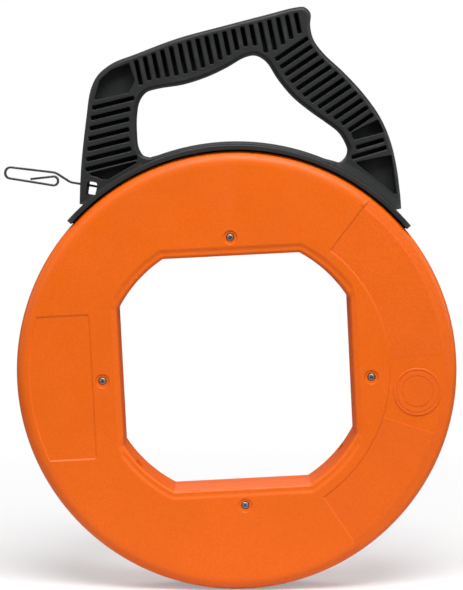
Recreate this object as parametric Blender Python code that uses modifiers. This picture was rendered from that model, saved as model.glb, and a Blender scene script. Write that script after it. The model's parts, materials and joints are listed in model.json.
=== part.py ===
"""Fish tape reel: a spring-steel tape wound in a two-shell case that turns inside a D-handle.

World frame: metres, +Z up, +X to the right, -Y towards the viewer of the front.
The origin is the top of the hand opening, under the grip bar, where a hand or hook holds the reel up.
Sizes below are millimetres from the case axis, which runs along Y; M turns them into metres.
"""

import math

import bmesh
import bpy
from mathutils import Matrix, Vector

M = 0.001
NAME = "fish_tape_reel"
TINY = 1e-6
GAP = 0.3

# --- frame ---
AXIS_X = -12.5  # case axis from the origin
AXIS_Z = -208.2
REST_TURN = 2.9  # how far the case is turned at rest: degrees, anticlockwise from the front

# --- case ---
CASE_R = 145.0
CASE_HALF = 22.5  # half the case's depth
WALL = 2.5
RIM_WALL = 3.0
SHOULDER_R = 10.0  # rounded rim: its reach along the radius and along the axis
SHOULDER_Y = 7.0
SLOT_HALF = 4.1  # half the open slot round the rim
BORE = (76.4, 76.4, 88.6)  # square hole with its corners cut round: axis to side, top and corner
MOUTH = (78.1, 81.4, 93.6)  # the wider step at the hole's mouth, in the same way
MOUTH_DEPTH = 0.9
BORE_WALL = 3.0
BORE_BLANK = 70.0  # the turned blank's hole, before the square one is cut
DRUM_R = 97.2  # drum wall that the tape is wound on
DRUM_WALL = 2.4
PARTING = 0.15  # each shell stops this short of the middle plane
SEGMENTS = 60
PANEL_DEPTH = 0.6
PANEL_R = 136.0  # the shallow panels reach out to here
LEFT_PANEL = (-94.5, 161.6, 202.8)  # x of the straight side, and the angles that the curved one spans
RIGHT_PANEL = (100.0, -58.6, 50.0)  # inner radius, and the angles that it spans
PAD = (119.3, -9.2, 15.8)  # round pad left standing in the right panel: distance, angle, radius

# --- case screws ---
SCREW_CIRCLE = 88.4
SCREW_ANGLES = {"top": 90.0, "left": 181.0, "bottom": 270.7, "right": -5.1}
BOSS_R = 6.9
RECESS_R = 4.5
RECESS_DEPTH = 0.8
SEAT_R = 2.7  # the head sits deeper, in a narrower hole inside the recess
SEAT_DEPTH = 2.6
HEAD_LIFT = 0.2  # the head stays this far off its seat
SCREW_R = 1.8
SCREW_HEAD_R = 2.4
SCREW_HEAD = 1.7
SCREW_LENGTH = 31.0
SCREW_POINT = 1.6
PILOT_END = 7.0  # pilot holes stop this far under the rear face

# --- tape ---
TAPE_W = 3.0
TAPE_T = 1.5
COIL_HALF = 17.0
COIL_R = 103.9
ANCHOR_CIRCLE = 88.2  # the tape's inner end hooks round a post here
ANCHOR_ANGLE = 164.0
POST_R = 3.2
POST_BASE_R = 4.6
EYE_Y = 5.5  # middle of the inner eye's width
EYE_TURN = 300.0
NOTCH_HALF = 2.2  # gap in the drum wall for the inner end: half its width, and its reach past the wall
NOTCH_REACH = 2.0
WASHER_R = 5.0
WASHER_T = 1.0
ANCHOR_HEAD_R = 3.2
ANCHOR_HEAD = 1.8
ANCHOR_LENGTH = 12.0
ANCHOR_HOLE = 15.0
LEAD_TILT = 9.2  # the tape leaves to the left, rising at this angle
LEAD_LINE = 105.0  # its straight run passes this far from the case axis
LEAD_RUN = 128.5  # length of the straight run, from the coil to the first bend
LEAD_BEND = 9.0  # radius of the first bend
LEAD_LOOP = (  # the formed end, as (x, z, bend radius)
    (-120.0, 130.6, 8.0), (-152.5, 134.4, 3.45), (-153.8, 127.3, 3.45),
    (-118.2, 121.6, 2.9), (-118.4, 128.3, 2.8), (-136.5, 126.3, 0.0),
)
CHANNEL = 0.6  # clearance round the tape in the ring and the handle
RING_WINDOW = (80.0, 112.0)  # where the channel starts and ends along the run, in ring and handle
HANDLE_WINDOW = (92.0, 128.0)

# --- guide ring: a flat band behind the rim, with a neck in the slot ---
BAND_IN = 139.0
BAND_OUT = 141.6
BAND_HALF = 9.0
NECK_OUT = 144.3
NECK_HALF = 3.7
RING_ANGLES = (131.5, 117.5, 57.0, 47.0)
RING_SCREW_R = 1.5
RING_HEAD_R = 3.2
RING_HEAD = 1.8
RING_HOLE = 130.0  # the screw holes start inside the band
RING_SEAT = BAND_IN - 0.45
RING_TIP = 150.3

# --- handle ---
SHOE_IN = 145.6
SHOE_OUT = 148.9
SHOE_HALF = 21.0
SHOE_FROM = 40.1
SHOE_TO = 138.2
GRIP_HALF = 15.0  # half the handle's thickness
WEB_HALF = 2.0  # half the web between front and rear pockets
EDGE = 2.5  # rounding along the handle's outline
FOOT_R = 145.9  # the body's lower edge, inside the shoe
SILL_R = 151.2  # floor of the hand opening
FLARES = {"right": (38.0, 66.0, 155.5), "left": (112.0, 141.0, 151.2)}  # from, to, top radius
FLARE_INSET = 0.4  # keeps the flares inside the body's outline
FLARE_SIDE = 20.7  # half their width at the shoe
FLARE_FOOT = (147.9, 149.5)  # their lower end, rooted inside the shoe
FOOT_EASE = 1.5  # the lower edge stops this many degrees inside the outline's ends
SILL_EASE = 2.0
BODY_OUTLINE = (  # (x, z), smoothed through the points
    (-103.3, 110.0), (-103.0, 120.0), (-102.0, 137.0), (-98.7, 166.0), (-95.7, 185.0),
    (-90.8, 194.6), (-81.2, 202.2), (-66.6, 207.9), (-38.8, 218.3), (-9.9, 226.1),
    (19.0, 233.6), (38.1, 238.4), (44.2, 238.6), (48.2, 234.6), (48.0, 226.6),
    (50.2, 217.5), (57.4, 207.9), (69.0, 197.2), (82.6, 182.8), (94.3, 166.5),
    (101.1, 150.6), (105.2, 133.2), (107.6, 115.0), (108.2, 107.0),
)
OPENING_OUTLINE = (
    (-57.2, 140.6), (-62.3, 142.2), (-65.3, 147.5), (-66.3, 157.0), (-66.3, 168.0),
    (-64.6, 177.5), (-60.3, 183.6), (-52.5, 186.2), (-35.5, 189.0), (-19.8, 194.0),
    (-6.0, 200.5), (5.0, 206.8), (12.5, 208.2), (19.6, 204.2), (27.3, 192.7),
    (37.1, 181.0), (48.9, 171.3), (60.0, 163.5), (67.8, 157.4), (72.0, 151.0),
    (73.9, 145.5), (72.5, 140.8), (68.2, 137.4), (62.4, 138.6),
)
CORNER_POCKET = (
    (-93.2, 177.9), (-70.9, 182.9), (-66.8, 190.5), (-70.6, 202.0), (-81.9, 197.6), (-89.5, 191.0),
)
LEFT_POCKET = (
    (-98.9, 129.4), (-66.2, 137.6), (-66.0, 136.8), (-84.8, 126.2), (-88.2, 126.2), (-92.6, 128.0),
)
ARM_POCKET = ((74.8, 156.6), (92.6, 165.4), (96.4, 157.0), (76.6, 152.0))
RIGHT_POCKET = ((77.6, 137.2), (101.4, 142.2), (105.0, 115.4))
WINDOW = ((-97.9, 125.1), (-91.4, 124.0), (-92.6, 115.3), (-99.2, 116.3))

# --- handle slots: how many, their spacing, a point on the first, and their slope ---
SLOT_W = 2.5
BAR_SLOTS = (19, 5.71, (-65.0, 204.6), -78.0)
ARM_SLOTS = (12, 5.91, (46.3, 218.2), 33.8)
POST_SLOTS = (7, 6.35, (-95.7, 172.4), 13.8)
LOW_SLOTS = (2, 5.3, (97.6, 152.5), 16.5)
BAR_OPEN_X = 12.0  # left of this the bar's slots end at the hand opening
BAR_STOP = 0.95  # right of it, this many arm spacings above the arm's first slot
BAR_ENDS = (4.0, 5.6)  # solid left at a slot's outer and inner end
ARM_ENDS = (3.4, 4.6)
POST_ENDS = (3.6, 4.4)
LOW_ENDS = (4.0, 4.6)

# Drawings are made flat, in X and Y, and stood up so that their Y is world Z and their Z is world -Y.
UPRIGHT = Matrix(((1, 0, 0, 0), (0, 0, -1, 0), (0, 1, 0, 0), (0, 0, 0, 1)))
STRAIGHT = Matrix.Identity(4)


# ---------- scene helpers ----------


def clear_scene():
    for thing in list(bpy.data.objects):
        bpy.data.objects.remove(thing, do_unlink=True)


def collection(name, hidden=False):
    made = bpy.data.collections.new(name)
    bpy.context.scene.collection.children.link(made)
    made.hide_render = hidden
    return made


def material(name, colour, roughness, metallic=0.0):
    made = bpy.data.materials.new(name)
    made.use_nodes = True
    shader = made.node_tree.nodes["Principled BSDF"]
    shader.inputs["Base Color"].default_value = (*colour, 1.0)
    shader.inputs["Roughness"].default_value = roughness
    shader.inputs["Metallic"].default_value = metallic
    return made


def plain_mesh(source, matrix):
    """The source object as the viewport shows it, welded, moved by matrix and facing outwards."""
    bpy.context.view_layer.update()
    graph = bpy.context.evaluated_depsgraph_get()
    data = bpy.data.meshes.new_from_object(source.evaluated_get(graph))
    work = bmesh.new()
    work.from_mesh(data)
    bmesh.ops.transform(work, matrix=matrix, verts=work.verts)
    bmesh.ops.remove_doubles(work, verts=work.verts, dist=TINY)
    bmesh.ops.recalc_face_normals(work, faces=work.faces)
    work.to_mesh(data)
    work.free()
    return data


def as_mesh_object(source, matrix=STRAIGHT):
    """Replaces a drawn object by a plain mesh object of the same name."""
    bpy.context.scene.collection.objects.link(source)
    data = plain_mesh(source, matrix)
    name = source.name
    bpy.data.objects.remove(source, do_unlink=True)
    data.name = name
    made = bpy.data.objects.new(name, data)
    CUTTERS.objects.link(made)
    made.hide_render = True
    made.display_type = "WIRE"
    return made


def joined(target, tool, operation):
    step = target.modifiers.new(tool.name, "BOOLEAN")
    step.operation = operation
    step.solver = "EXACT"
    step.object = tool
    return target


def finished(piece, look, frame):
    """Applies a piece's Booleans, gives it its material and hangs it on its frame."""
    data = plain_mesh(piece, STRAIGHT)
    for step in piece.modifiers:
        step.object.parent = frame
    piece.modifiers.clear()
    piece.data = data
    data.materials.clear()
    data.materials.append(look)
    data.shade_smooth()
    data.set_sharp_from_angle(angle=math.radians(35.0))
    CUTTERS.objects.unlink(piece)
    PARTS.objects.link(piece)
    piece.hide_render = False
    piece.display_type = "TEXTURED"
    piece.parent = frame
    return piece


def frame_at_axis(name, turn):
    """An empty on the case axis, turned about it."""
    made = bpy.data.objects.new(name, None)
    made.location = (AXIS_X * M, 0.0, AXIS_Z * M)
    made.rotation_euler.y = -math.radians(turn)
    bpy.context.scene.collection.objects.link(made)
    return made


# ---------- drawing tools ----------


def plate(name, loops, low, high, edge=0.0, inset=0.0):
    """Closed loops of (x, z) filled and extruded from y = low to y = high.

    The loops are first drawn in by inset, and the edges then swell outwards by edge.
    """
    curve = bpy.data.curves.new(name, "CURVE")
    curve.dimensions = "2D"
    curve.fill_mode = "BOTH"
    curve.extrude = ((high - low) / 2 - edge) * M
    curve.bevel_depth = edge * M
    curve.bevel_resolution = 1
    curve.offset = -inset * M
    for loop in loops:
        spline = curve.splines.new("POLY")
        spline.points.add(len(loop) - 1)
        spline.use_cyclic_u = True
        for point, (x, z) in zip(spline.points, loop):
            point.co = (x * M, z * M, 0.0, 1.0)
    drawn = bpy.data.objects.new(name, curve)
    middle = Matrix.Translation((0.0, (low + high) / 2 * M, 0.0))
    return as_mesh_object(drawn, middle @ UPRIGHT)


def profile_object(name, profile, closed):
    """A line of (radius, height) in the X-Z plane, ready to be turned about Z."""
    data = bpy.data.meshes.new(name)
    count = len(profile)
    edges = [(i, i + 1) for i in range(count - 1)]
    if closed:
        edges.append((count - 1, 0))
    data.from_pydata([(r * M, 0.0, h * M) for r, h in profile], edges, [])
    return bpy.data.objects.new(name, data)


def turned(name, profile, closed, steps, matrix):
    """A profile of (radius, height) turned a whole turn about Z, then moved by matrix."""
    drawn = profile_object(name, profile, closed)
    screw = drawn.modifiers.new("turn", "SCREW")
    screw.steps = steps
    screw.render_steps = steps
    screw.use_merge_vertices = True
    screw.merge_threshold = TINY
    return as_mesh_object(drawn, matrix)


def turned_on_axis(name, profile, steps=SEGMENTS):
    """A closed profile of (radius, y) turned about the case axis."""
    return turned(name, [(r, -y) for r, y in profile], True, steps, UPRIGHT)


def pin(name, outline, origin, along, steps):
    """A solid pin whose outline of (radius, distance) runs from origin along a direction."""
    swing = Vector((0.0, 0.0, 1.0)).rotation_difference(Vector(along)).to_matrix().to_4x4()
    ends = [(0.0, outline[0][1]), *outline, (0.0, outline[-1][1])]
    profile = [point for i, point in enumerate(ends) if i == 0 or point != ends[i - 1]]
    return turned(name, profile, False, steps, Matrix.Translation(Vector(origin) * M) @ swing)


def swept(name, profile, start, end, steps):
    """A closed profile of (radius, y) swept between two angles about the case axis."""
    data = bpy.data.meshes.new(name)
    work = bmesh.new()
    first = math.radians(start)
    corners = [
        work.verts.new((r * math.cos(first) * M, y * M, r * math.sin(first) * M)) for r, y in profile
    ]
    face = work.faces.new(corners)
    geometry = [face, *face.edges, *face.verts]
    bmesh.ops.spin(
        work, geom=geometry, cent=(0, 0, 0), axis=(0, -1, 0), angle=math.radians(end - start), steps=steps
    )
    work.to_mesh(data)
    work.free()
    return as_mesh_object(bpy.data.objects.new(name, data))


# ---------- geometry in the X-Z plane ----------


def polar(radius, angle):
    a = math.radians(angle)
    return radius * math.cos(a), radius * math.sin(a)


def heading(angle):
    return Vector(polar(1.0, angle))


def left_of(direction):
    return Vector((-direction.y, direction.x))


def angle_of(point):
    return math.degrees(math.atan2(point[1], point[0]))


def arc(radius, start, end, steps, centre=(0.0, 0.0)):
    """Points on a circle from one angle to another, both ends included."""
    found = []
    for k in range(steps + 1):
        x, z = polar(radius, start + (end - start) * k / steps)
        found.append((centre[0] + x, centre[1] + z))
    return found


def smooth_line(points, per_span=2):
    """Centripetal spline through the points, with per_span steps between neighbours."""
    knots = [Vector(q) for q in points]
    knots = [knots[0] * 2 - knots[1], *knots, knots[-1] * 2 - knots[-2]]
    line = []
    for i in range(1, len(knots) - 2):
        p = knots[i - 1 : i + 3]
        t = [0.0]
        for a, b in zip(p, p[1:]):
            t.append(t[-1] + math.sqrt((b - a).length))
        for k in range(per_span):
            s = t[1] + (t[2] - t[1]) * k / per_span
            a = [p[m].lerp(p[m + 1], (s - t[m]) / (t[m + 1] - t[m])) for m in range(3)]
            b = [a[m].lerp(a[m + 1], (s - t[m]) / (t[m + 2] - t[m])) for m in range(2)]
            line.append(tuple(b[0].lerp(b[1], (s - t[1]) / (t[2] - t[1]))))
    line.append(tuple(points[-1]))
    return line


def rounded(corners, steps=3, closed=True):
    """A polygon or path of (x, z, radius) with each corner replaced by an arc."""
    found = []
    count = len(corners)
    for i, (x, z, radius) in enumerate(corners):
        here = Vector((x, z))
        if radius == 0.0 or (not closed and i in (0, count - 1)):
            found.append((x, z))
            continue
        before = (Vector(corners[i - 1][:2]) - here).normalized()
        after = (Vector(corners[(i + 1) % count][:2]) - here).normalized()
        half = before.angle(after) / 2
        centre = here + (before + after).normalized() * (radius / math.sin(half))
        begin = here + before * (radius / math.tan(half)) - centre
        finish = here + after * (radius / math.tan(half)) - centre
        turn = begin.angle_signed(finish)
        for k in range(steps + 1):
            found.append(tuple(centre + Matrix.Rotation(-turn * k / steps, 2) @ begin))
    return found


def hole_outline(shape, grown=0.0, steps=6):
    """A square loop whose corners are cut by a circle, grown outwards on all sides."""
    side, top, reach = (size + grown for size in shape)
    start = math.degrees(math.acos(side / reach))
    end = math.degrees(math.asin(top / reach))
    loop = []
    for base, first, last in ((0, start, end), (180, -end, -start), (180, start, end), (360, -end, -start)):
        loop += arc(reach, base + first, base + last, steps)
    return loop


def strip_outline(path):
    """The outline of the tape, seen on edge, bent along a path of (x, z)."""
    left, right = [], []
    last = len(path) - 1
    for i, point in enumerate(path):
        here = Vector(point)
        back = (here - Vector(path[max(i - 1, 0)])) if i else Vector(path[1]) - here
        ahead = (Vector(path[i + 1]) - here) if i < last else back
        back, ahead = back.normalized(), ahead.normalized()
        along = (back + ahead).normalized()
        side = left_of(along) * (TAPE_T / 2 / max(0.7, along.dot(ahead)))
        left.append(tuple(here + side))
        right.append(tuple(here - side))
    return left + right[::-1]


def lead_point(distance):
    """A point on the tape's straight run, measured from where it leaves the coil."""
    run = heading(180.0 - LEAD_TILT)
    normal = Vector((run.y, -run.x))
    return normal * LEAD_LINE + run * distance


def crossings(loop, origin, along):
    """Distances along a line at which it crosses a closed loop."""
    across = left_of(along)
    found = []
    for i, point in enumerate(loop):
        a = Vector(point) - origin
        b = Vector(loop[(i + 1) % len(loop)]) - origin
        da, db = a.dot(across), b.dot(across)
        if (da < 0) != (db < 0):
            found.append(a.lerp(b, da / (da - db)).dot(along))
    return sorted(found)


def slot_corners(origin, along, low, high):
    side = left_of(along) * (SLOT_W / 2)
    near, far = origin + along * low, origin + along * high
    return [tuple(near - side), tuple(far - side), tuple(far + side), tuple(near + side)]


# ---------- case and reel ----------


def shell(name, side):
    """One half of the case; side is -1 for the front and +1 for the rear."""
    face = CASE_HALF
    centre_r, centre_y = CASE_R - SHOULDER_R, face - SHOULDER_Y
    rim, inside = [], []
    for angle in (0.0, 30.0, 60.0, 90.0):
        c, s = polar(1.0, angle)
        rim.append((centre_r + SHOULDER_R * c, centre_y + SHOULDER_Y * s))
    for angle in (90.0, 45.0, 0.0):
        c, s = polar(1.0, angle)
        inside.append((centre_r + (SHOULDER_R - RIM_WALL) * c, centre_y + (SHOULDER_Y - WALL) * s))
    drum_in = DRUM_R - DRUM_WALL
    profile = [(CASE_R, SLOT_HALF), *rim, (BORE_BLANK, face), (BORE_BLANK, face - WALL)]
    profile += [(drum_in, face - WALL), (drum_in, PARTING), (DRUM_R, PARTING), (DRUM_R, face - WALL)]
    profile += [*inside, (CASE_R - RIM_WALL, SLOT_HALF)]
    body = turned_on_axis(name, [(r, side * y) for r, y in profile])

    root = face - WALL / 4  # joined pieces start inside the face's wall
    low, high = sorted((side * PARTING, side * root))
    joined(body, plate(name + "_bore_wall", [hole_outline(BORE, BORE_WALL)], low, high), "UNION")
    for label, angle in SCREW_ANGLES.items():
        x, z = polar(SCREW_CIRCLE, angle)
        boss = pin(f"{name}_boss_{label}", ((BOSS_R, PARTING), (BOSS_R, root)), (x, 0, z), (0, side, 0), 18)
        joined(body, boss, "UNION")
    if side > 0:
        add_anchor_post(body, root)

    joined(body, plate(name + "_bore", [hole_outline(BORE)], -2 * face, 2 * face), "DIFFERENCE")
    low, high = sorted((side * (face - MOUTH_DEPTH), side * 2 * face))
    joined(body, plate(name + "_mouth", [hole_outline(MOUTH)], low, high), "DIFFERENCE")
    for label, angle in SCREW_ANGLES.items():
        x, z = polar(SCREW_CIRCLE, angle)
        hole = [(SCREW_R + GAP, -1.0)]
        if side < 0:
            seat, floor = face - SEAT_DEPTH, face - RECESS_DEPTH
            hole += [(SCREW_R + GAP, seat), (SEAT_R, seat), (SEAT_R, floor)]
            hole += [(RECESS_R, floor), (RECESS_R, face + 1.0)]
        else:
            hole += [(SCREW_R + GAP, face - PILOT_END)]
        joined(body, pin(f"{name}_hole_{label}", hole, (x, 0, z), (0, side, 0), 14), "DIFFERENCE")
    return body


def add_front_panels(body):
    side_x, start, end = LEFT_PANEL
    curved = arc(PANEL_R, start, end, 10)
    left = curved + [(side_x, curved[-1][1]), (side_x, curved[0][1])]
    inner, start, end = RIGHT_PANEL
    right = arc(PANEL_R, start, end, 26) + arc(inner, end, start, 26)
    pad = arc(PAD[2], 0.0, 348.75, 31, polar(*PAD[:2]))
    tool = plate("front_panels", [left, right, pad], -CASE_HALF - 2.0, -CASE_HALF + PANEL_DEPTH)
    joined(body, tool, "DIFFERENCE")


def add_anchor_post(body, root):
    """The stepped post that the tape's inner end hooks round, with its screw hole."""
    x, z = polar(ANCHOR_CIRCLE, ANCHOR_ANGLE)
    tip, shoulder = EYE_Y - TAPE_W / 2 - 0.2, EYE_Y + TAPE_W / 2 + GAP
    outline = ((POST_R, tip), (POST_R, shoulder), (POST_BASE_R, shoulder), (POST_BASE_R, root))
    joined(body, pin("anchor_post", outline, (x, 0, z), (0, 1, 0), 16), "UNION")
    hole = ((SCREW_R, 0.0), (SCREW_R, ANCHOR_HOLE))
    joined(body, pin("anchor_hole", hole, (x, 0, z), (0, 1, 0), 12), "DIFFERENCE")


def inner_end_path():
    """The tape's inner end: in through the drum wall, then round the anchor post."""
    out = heading(ANCHOR_ANGLE)
    middle = out * ANCHOR_CIRCLE
    bend = POST_R + GAP + TAPE_T / 2
    start = middle + left_of(out) * bend + out * (DRUM_R + NOTCH_REACH - ANCHOR_CIRCLE)
    first = ANCHOR_ANGLE + 90.0
    return [tuple(start)] + arc(bend, first, first + EYE_TURN, 15, tuple(middle))


def add_tape_notch(body):
    """The gap in the drum wall where the tape's inner end passes."""
    out = heading(ANCHOR_ANGLE)
    shift = left_of(out) * (POST_R + GAP + TAPE_T / 2)
    side = left_of(out) * NOTCH_HALF
    near = out * (DRUM_R - DRUM_WALL - NOTCH_REACH) + shift
    far = out * (DRUM_R + NOTCH_REACH) + shift
    loop = [tuple(p) for p in (near - side, far - side, far + side, near + side)]
    joined(body, plate("tape_notch", [loop], -1.0, EYE_Y + TAPE_W / 2 + 1.0), "DIFFERENCE")


def tape_coil():
    """All the wound turns as one ring, with the hooked inner end."""
    inner = DRUM_R + GAP
    ring = [(COIL_R, -COIL_HALF), (COIL_R, COIL_HALF), (inner, COIL_HALF), (inner, -COIL_HALF)]
    body = turned_on_axis("tape_coil", ring)
    low, high = EYE_Y - TAPE_W / 2, EYE_Y + TAPE_W / 2
    return joined(body, plate("tape_inner_end", [strip_outline(inner_end_path())], low, high), "UNION")


def case_screws():
    made = []
    seat = CASE_HALF - SEAT_DEPTH + HEAD_LIFT
    for label, angle in SCREW_ANGLES.items():
        x, z = polar(SCREW_CIRCLE, angle)
        tip = seat - SCREW_LENGTH
        outline = (
            (0.0, tip), (SCREW_R, tip + SCREW_POINT), (SCREW_R, seat), (SCREW_HEAD_R, seat),
            (SCREW_HEAD_R, seat + 0.6 * SCREW_HEAD), (0.6 * SCREW_HEAD_R, seat + SCREW_HEAD),
        )
        made.append(pin(f"case_screw_{label}", outline, (x, 0, z), (0, -1, 0), 16))
    return made


def anchor_hardware():
    """Washer and screw that keep the inner end on its post."""
    x, z = polar(ANCHOR_CIRCLE, ANCHOR_ANGLE)
    top = EYE_Y - TAPE_W / 2 - 0.4
    place = Matrix.Translation((x * M, 0.0, z * M)) @ UPRIGHT
    ring = ((WASHER_R, WASHER_T - top), (WASHER_R, -top), (SCREW_R, -top), (SCREW_R, WASHER_T - top))
    washer = turned("anchor_washer", ring, True, 20, place)
    head = WASHER_T + HEAD_LIFT - top
    shank = SCREW_R - GAP
    outline = (
        (0.0, head - ANCHOR_LENGTH), (shank, head - ANCHOR_LENGTH + SCREW_POINT), (shank, head),
        (ANCHOR_HEAD_R, head), (ANCHOR_HEAD_R, head + 0.5 * ANCHOR_HEAD),
        (0.75 * ANCHOR_HEAD_R, head + ANCHOR_HEAD),
    )
    return washer, pin("anchor_screw", outline, (x, 0, z), (0, -1, 0), 14)


# ---------- handle, ring and tape lead ----------


def tape_lead():
    """The free end of the tape: straight through ring and handle, then a formed loop."""
    corners = [(*lead_point(0.0), 0.0), (*lead_point(LEAD_RUN), LEAD_BEND), *LEAD_LOOP]
    path = rounded(corners, 6, closed=False)
    return plate("tape_lead", [strip_outline(path)], -TAPE_W / 2, TAPE_W / 2)


def tape_channel(name, low, high):
    """A cutter round the tape's straight run."""
    side = left_of(heading(180.0 - LEAD_TILT)) * (TAPE_T / 2 + CHANNEL)
    near, far = lead_point(low), lead_point(high)
    loop = [tuple(p) for p in (near - side, far - side, far + side, near + side)]
    return plate(name, [loop], -TAPE_W / 2 - CHANNEL, TAPE_W / 2 + CHANNEL)


def cut_ring_screw_holes(body, low, high):
    for k, angle in enumerate(RING_ANGLES):
        x, z = polar(1.0, angle)
        hole = ((RING_SCREW_R + GAP, low), (RING_SCREW_R + GAP, high))
        joined(body, pin(f"{body.name}_hole_{k + 1}", hole, (0, 0, 0), (x, 0, z), 14), "DIFFERENCE")


def guide_ring():
    profile = [
        (BAND_IN, -BAND_HALF), (BAND_OUT, -BAND_HALF), (BAND_OUT, -NECK_HALF), (NECK_OUT, -NECK_HALF),
        (NECK_OUT, NECK_HALF), (BAND_OUT, NECK_HALF), (BAND_OUT, BAND_HALF), (BAND_IN, BAND_HALF),
    ]
    body = turned_on_axis("guide_ring", profile)
    joined(body, tape_channel("ring_window", *RING_WINDOW), "DIFFERENCE")
    cut_ring_screw_holes(body, RING_HOLE, SHOE_OUT)
    return body


def ring_screws():
    made = []
    for k, angle in enumerate(RING_ANGLES):
        x, z = polar(1.0, angle)
        outline = (
            (RING_HEAD_R - 0.8, RING_SEAT - RING_HEAD), (RING_HEAD_R, RING_SEAT - 0.9),
            (RING_HEAD_R, RING_SEAT), (RING_SCREW_R, RING_SEAT), (RING_SCREW_R, RING_TIP - 1.2),
            (0.0, RING_TIP),
        )
        made.append(pin(f"ring_screw_{k + 1}", outline, (0, 0, 0), (x, 0, z), 14))
    return made


def slots_between(spec, ends, body, opening, outwards):
    """Parallel slots across a limb, each stopped short of its outer and inner edge."""
    count, step, first, rise = spec
    along = heading(rise)
    slots = []
    for k in range(count):
        origin = Vector(first) - left_of(along) * step * k
        outer, inner = crossings(body, origin, along), crossings(opening, origin, along)
        if outwards:
            high = min(t for t in outer if t > -1.0) - ends[0]
            low = max(t for t in inner if t < high) + ends[1]
        else:
            low = max(t for t in outer if t < 1.0) + ends[0]
            high = min(t for t in inner if t > low) - ends[1]
        slots.append(slot_corners(origin, along, low, high))
    return slots


def bar_slots(body, opening):
    """The grip bar's slots; those past the bar's end stop above the arm's first slot."""
    count, step, first, rise = BAR_SLOTS
    along = heading(rise)
    across = left_of(heading(ARM_SLOTS[3]))
    stop = Vector(ARM_SLOTS[2]) + across * ARM_SLOTS[1] * BAR_STOP
    slots = []
    for k in range(count):
        origin = Vector((first[0] + step * k, first[1]))
        top = min(crossings(body, origin, along)) + BAR_ENDS[0]
        foot = (stop - origin).dot(across) / along.dot(across)
        below = [t for t in crossings(opening, origin, along) if t > top]
        if below and (origin.x < BAR_OPEN_X or below[0] - BAR_ENDS[1] < foot):
            foot = below[0] - BAR_ENDS[1]
        slots.append(slot_corners(origin, along, top, foot))
    return slots


def add_flares(body, loops):
    """The feet spread out to the shoe's width: two wedges, trimmed just inside the body's outline."""
    side = FLARE_SIDE
    low, high = FLARE_FOOT
    for label, (start, end, top) in FLARES.items():
        profile = [
            (low, -side), (high, -side), (top, 1.0 - GRIP_HALF), (top, GRIP_HALF - 1.0), (high, side),
            (low, side),
        ]
        flare = swept(f"flare_{label}", profile, start, end, 10)
        reach = 2 * SHOE_HALF
        trim = plate(f"flare_trim_{label}", loops, -reach, reach, inset=FLARE_INSET)
        joined(body, joined(flare, trim, "INTERSECT"), "UNION")


def handle():
    line = smooth_line(BODY_OUTLINE)
    outline = line + arc(FOOT_R, angle_of(line[-1]) + FOOT_EASE, angle_of(line[0]) - FOOT_EASE, 18)
    edge = smooth_line(OPENING_OUTLINE)
    opening = edge + arc(SILL_R, angle_of(edge[-1]) + SILL_EASE, angle_of(edge[0]) - SILL_EASE, 10)
    body = plate("handle", [outline, opening], -GRIP_HALF, GRIP_HALF, EDGE, EDGE)
    add_flares(body, [outline, opening])

    profile = [
        (SHOE_IN, -SHOE_HALF), (SHOE_OUT, -SHOE_HALF), (SHOE_OUT, SHOE_HALF), (SHOE_IN, SHOE_HALF),
        (SHOE_IN, NECK_HALF), (NECK_OUT + GAP, NECK_HALF), (NECK_OUT + GAP, -NECK_HALF),
        (SHOE_IN, -NECK_HALF),
    ]
    joined(body, swept("shoe", profile, SHOE_FROM, SHOE_TO, 28), "UNION")

    slots = bar_slots(outline, opening)
    slots += slots_between(ARM_SLOTS, ARM_ENDS, outline, opening, True)
    slots += slots_between(POST_SLOTS, POST_ENDS, outline, opening, False)
    slots += slots_between(LOW_SLOTS, LOW_ENDS, outline, opening, True)
    slots += [CORNER_POCKET, LEFT_POCKET, ARM_POCKET, RIGHT_POCKET]
    joined(body, plate("front_slots", slots, -GRIP_HALF - 8.0, -WEB_HALF), "DIFFERENCE")
    joined(body, plate("rear_slots", slots, WEB_HALF, GRIP_HALF + 8.0), "DIFFERENCE")
    joined(body, plate("tape_window", [WINDOW], -2 * SHOE_HALF, 2 * SHOE_HALF), "DIFFERENCE")
    joined(body, tape_channel("tape_channel", *HANDLE_WINDOW), "DIFFERENCE")
    cut_ring_screw_holes(body, 140.0, RING_TIP + 0.5)
    return body


clear_scene()
PARTS = collection(NAME)
CUTTERS = collection("cutters", hidden=True)

ORANGE = material("orange_plastic", (0.90, 0.155, 0.017), 0.48)
BLACK = material("black_plastic", (0.022, 0.023, 0.023), 0.5)
RING_BLACK = material("ring_plastic", (0.03, 0.03, 0.031), 0.55)
STEEL = material("tape_steel", (0.16, 0.16, 0.165), 0.38, 1.0)
ZINC = material("screw_zinc", (0.46, 0.47, 0.49), 0.35, 1.0)

reel_axis = frame_at_axis("reel_axis", REST_TURN)
handle_frame = frame_at_axis("handle_frame", 0.0)

front = shell("front_shell", -1)
add_front_panels(front)
rear = shell("rear_shell", 1)
add_tape_notch(rear)
finished(front, ORANGE, reel_axis)
finished(rear, ORANGE, reel_axis)
finished(tape_coil(), STEEL, reel_axis)
for fastener in (*case_screws(), *anchor_hardware()):
    finished(fastener, ZINC, reel_axis)

finished(handle(), BLACK, handle_frame)
finished(guide_ring(), RING_BLACK, handle_frame)
finished(tape_lead(), STEEL, handle_frame)
for fastener in ring_screws():
    finished(fastener, ZINC, handle_frame)
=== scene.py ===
"""Looks for the fish tape reel: fine geometry, materials, stage, light and camera.

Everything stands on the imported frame, which holds the joints and the pieces from the CAD model.
Lengths are millimetres from the case's axis (x right, y back, z up), as in that model; solid()
turns them into metres and ready() moves the piece to its place in the frame. The reel's own pieces
are drawn before the case's small turn at rest, so their flats lie level while they are drawn.
"""

import json
import math

import bmesh
import bpy
from mathutils import Matrix, Vector


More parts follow.
